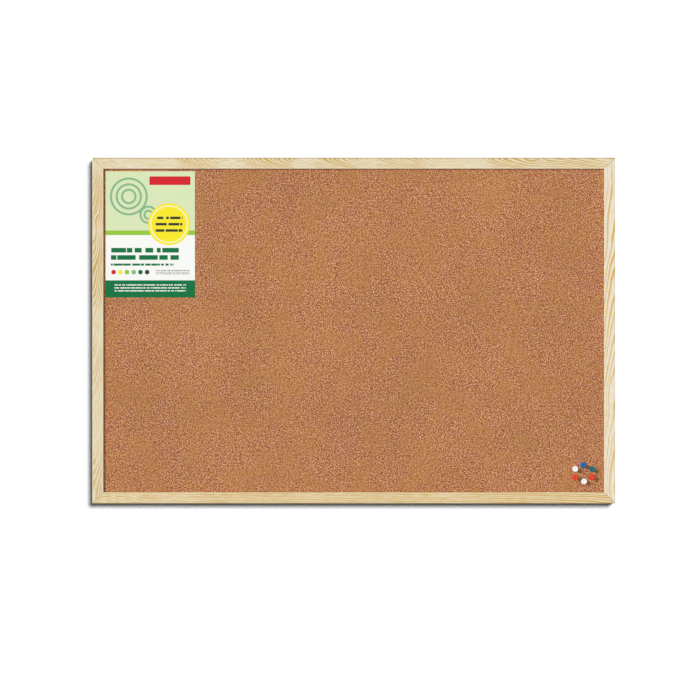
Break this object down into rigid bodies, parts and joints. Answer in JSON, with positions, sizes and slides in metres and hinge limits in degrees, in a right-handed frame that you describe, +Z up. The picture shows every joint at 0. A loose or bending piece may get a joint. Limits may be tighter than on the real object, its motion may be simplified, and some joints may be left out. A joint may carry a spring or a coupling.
{
  "type": "cork board",
  "caption": "Double-sided cork board in a mitred pine frame, with push pins that pull out, a plain retail card and swinging ring hangers on its back.",
  "frame": {"origin": "midway between the pivots of the two hanger rings, in the plane of the frame's back", "axes": "+Z up, -Y out of the front cork face, +X to the right as seen from the front"},
  "size_m": [0.9, 0.0316, 0.595],
  "materials": {
    "pine": "satin",
    "cork": "matte",
    "softboard": "matte",
    "printed_card": "satin",
    "bright_steel": "satin",
    "plated_steel": "gloss",
    "pin_white": "gloss",
    "pin_blue": "gloss",
    "pin_teal": "gloss",
    "pin_red": "gloss"
  },
  "bodies": {
    "board": {"frame_top": "pine", "frame_bottom": "pine", "frame_left": "pine", "frame_right": "pine", "core_board": "softboard", "cork_front": "cork", "cork_rear": "cork", "label_card": "printed_card", "v_nail_top_left": "bright_steel", "v_nail_top_right": "bright_steel", "v_nail_bottom_left": "bright_steel", "v_nail_bottom_right": "bright_steel", "hanger_left_strap": "plated_steel", "hanger_left_screw": "plated_steel", "hanger_right_strap": "plated_steel", "hanger_right_screw": "plated_steel"},
    "white_left_pin": {"pin_white_left_head": "pin_white", "pin_white_left_needle": "bright_steel"},
    "blue_pin": {"pin_blue_head": "pin_blue", "pin_blue_needle": "bright_steel"},
    "teal_pin": {"pin_teal_head": "pin_teal", "pin_teal_needle": "bright_steel"},
    "red_left_pin": {"pin_red_left_head": "pin_red", "pin_red_left_needle": "bright_steel"},
    "red_right_pin": {"pin_red_right_head": "pin_red", "pin_red_right_needle": "bright_steel"},
    "white_low_pin": {"pin_white_low_head": "pin_white", "pin_white_low_needle": "bright_steel"},
    "left_ring": {"hanger_left_ring": "plated_steel"},
    "right_ring": {"hanger_right_ring": "plated_steel"}
  },
  "joints": [
    {"name": "pin_white_left_pull", "type": "slide", "parent": "board", "child": "white_left_pin", "axis": [0, -1, 0], "range_m": [0, 0.015]},
    {"name": "pin_blue_pull", "type": "slide", "parent": "board", "child": "blue_pin", "axis": [0, -1, 0], "range_m": [0, 0.015]},
    {"name": "pin_teal_pull", "type": "slide", "parent": "board", "child": "teal_pin", "axis": [0, -1, 0], "range_m": [0, 0.015]},
    {"name": "pin_red_left_pull", "type": "slide", "parent": "board", "child": "red_left_pin", "axis": [0, -1, 0], "range_m": [0, 0.015]},
    {"name": "pin_red_right_pull", "type": "slide", "parent": "board", "child": "red_right_pin", "axis": [0, -1, 0], "range_m": [0, 0.015]},
    {"name": "pin_white_low_pull", "type": "slide", "parent": "board", "child": "white_low_pin", "axis": [0, -1, 0], "range_m": [0, 0.015]},
    {"name": "hanger_left_swing", "type": "hinge", "parent": "board", "child": "left_ring", "pos_m": [-0.4405, 0.0021, 0], "axis": [1, 0, 0], "range_deg": [0, 180]},
    {"name": "hanger_right_swing", "type": "hinge", "parent": "board", "child": "right_ring", "pos_m": [0.4405, 0.0021, 0], "axis": [1, 0, 0], "range_deg": [0, 180]}
  ]
}
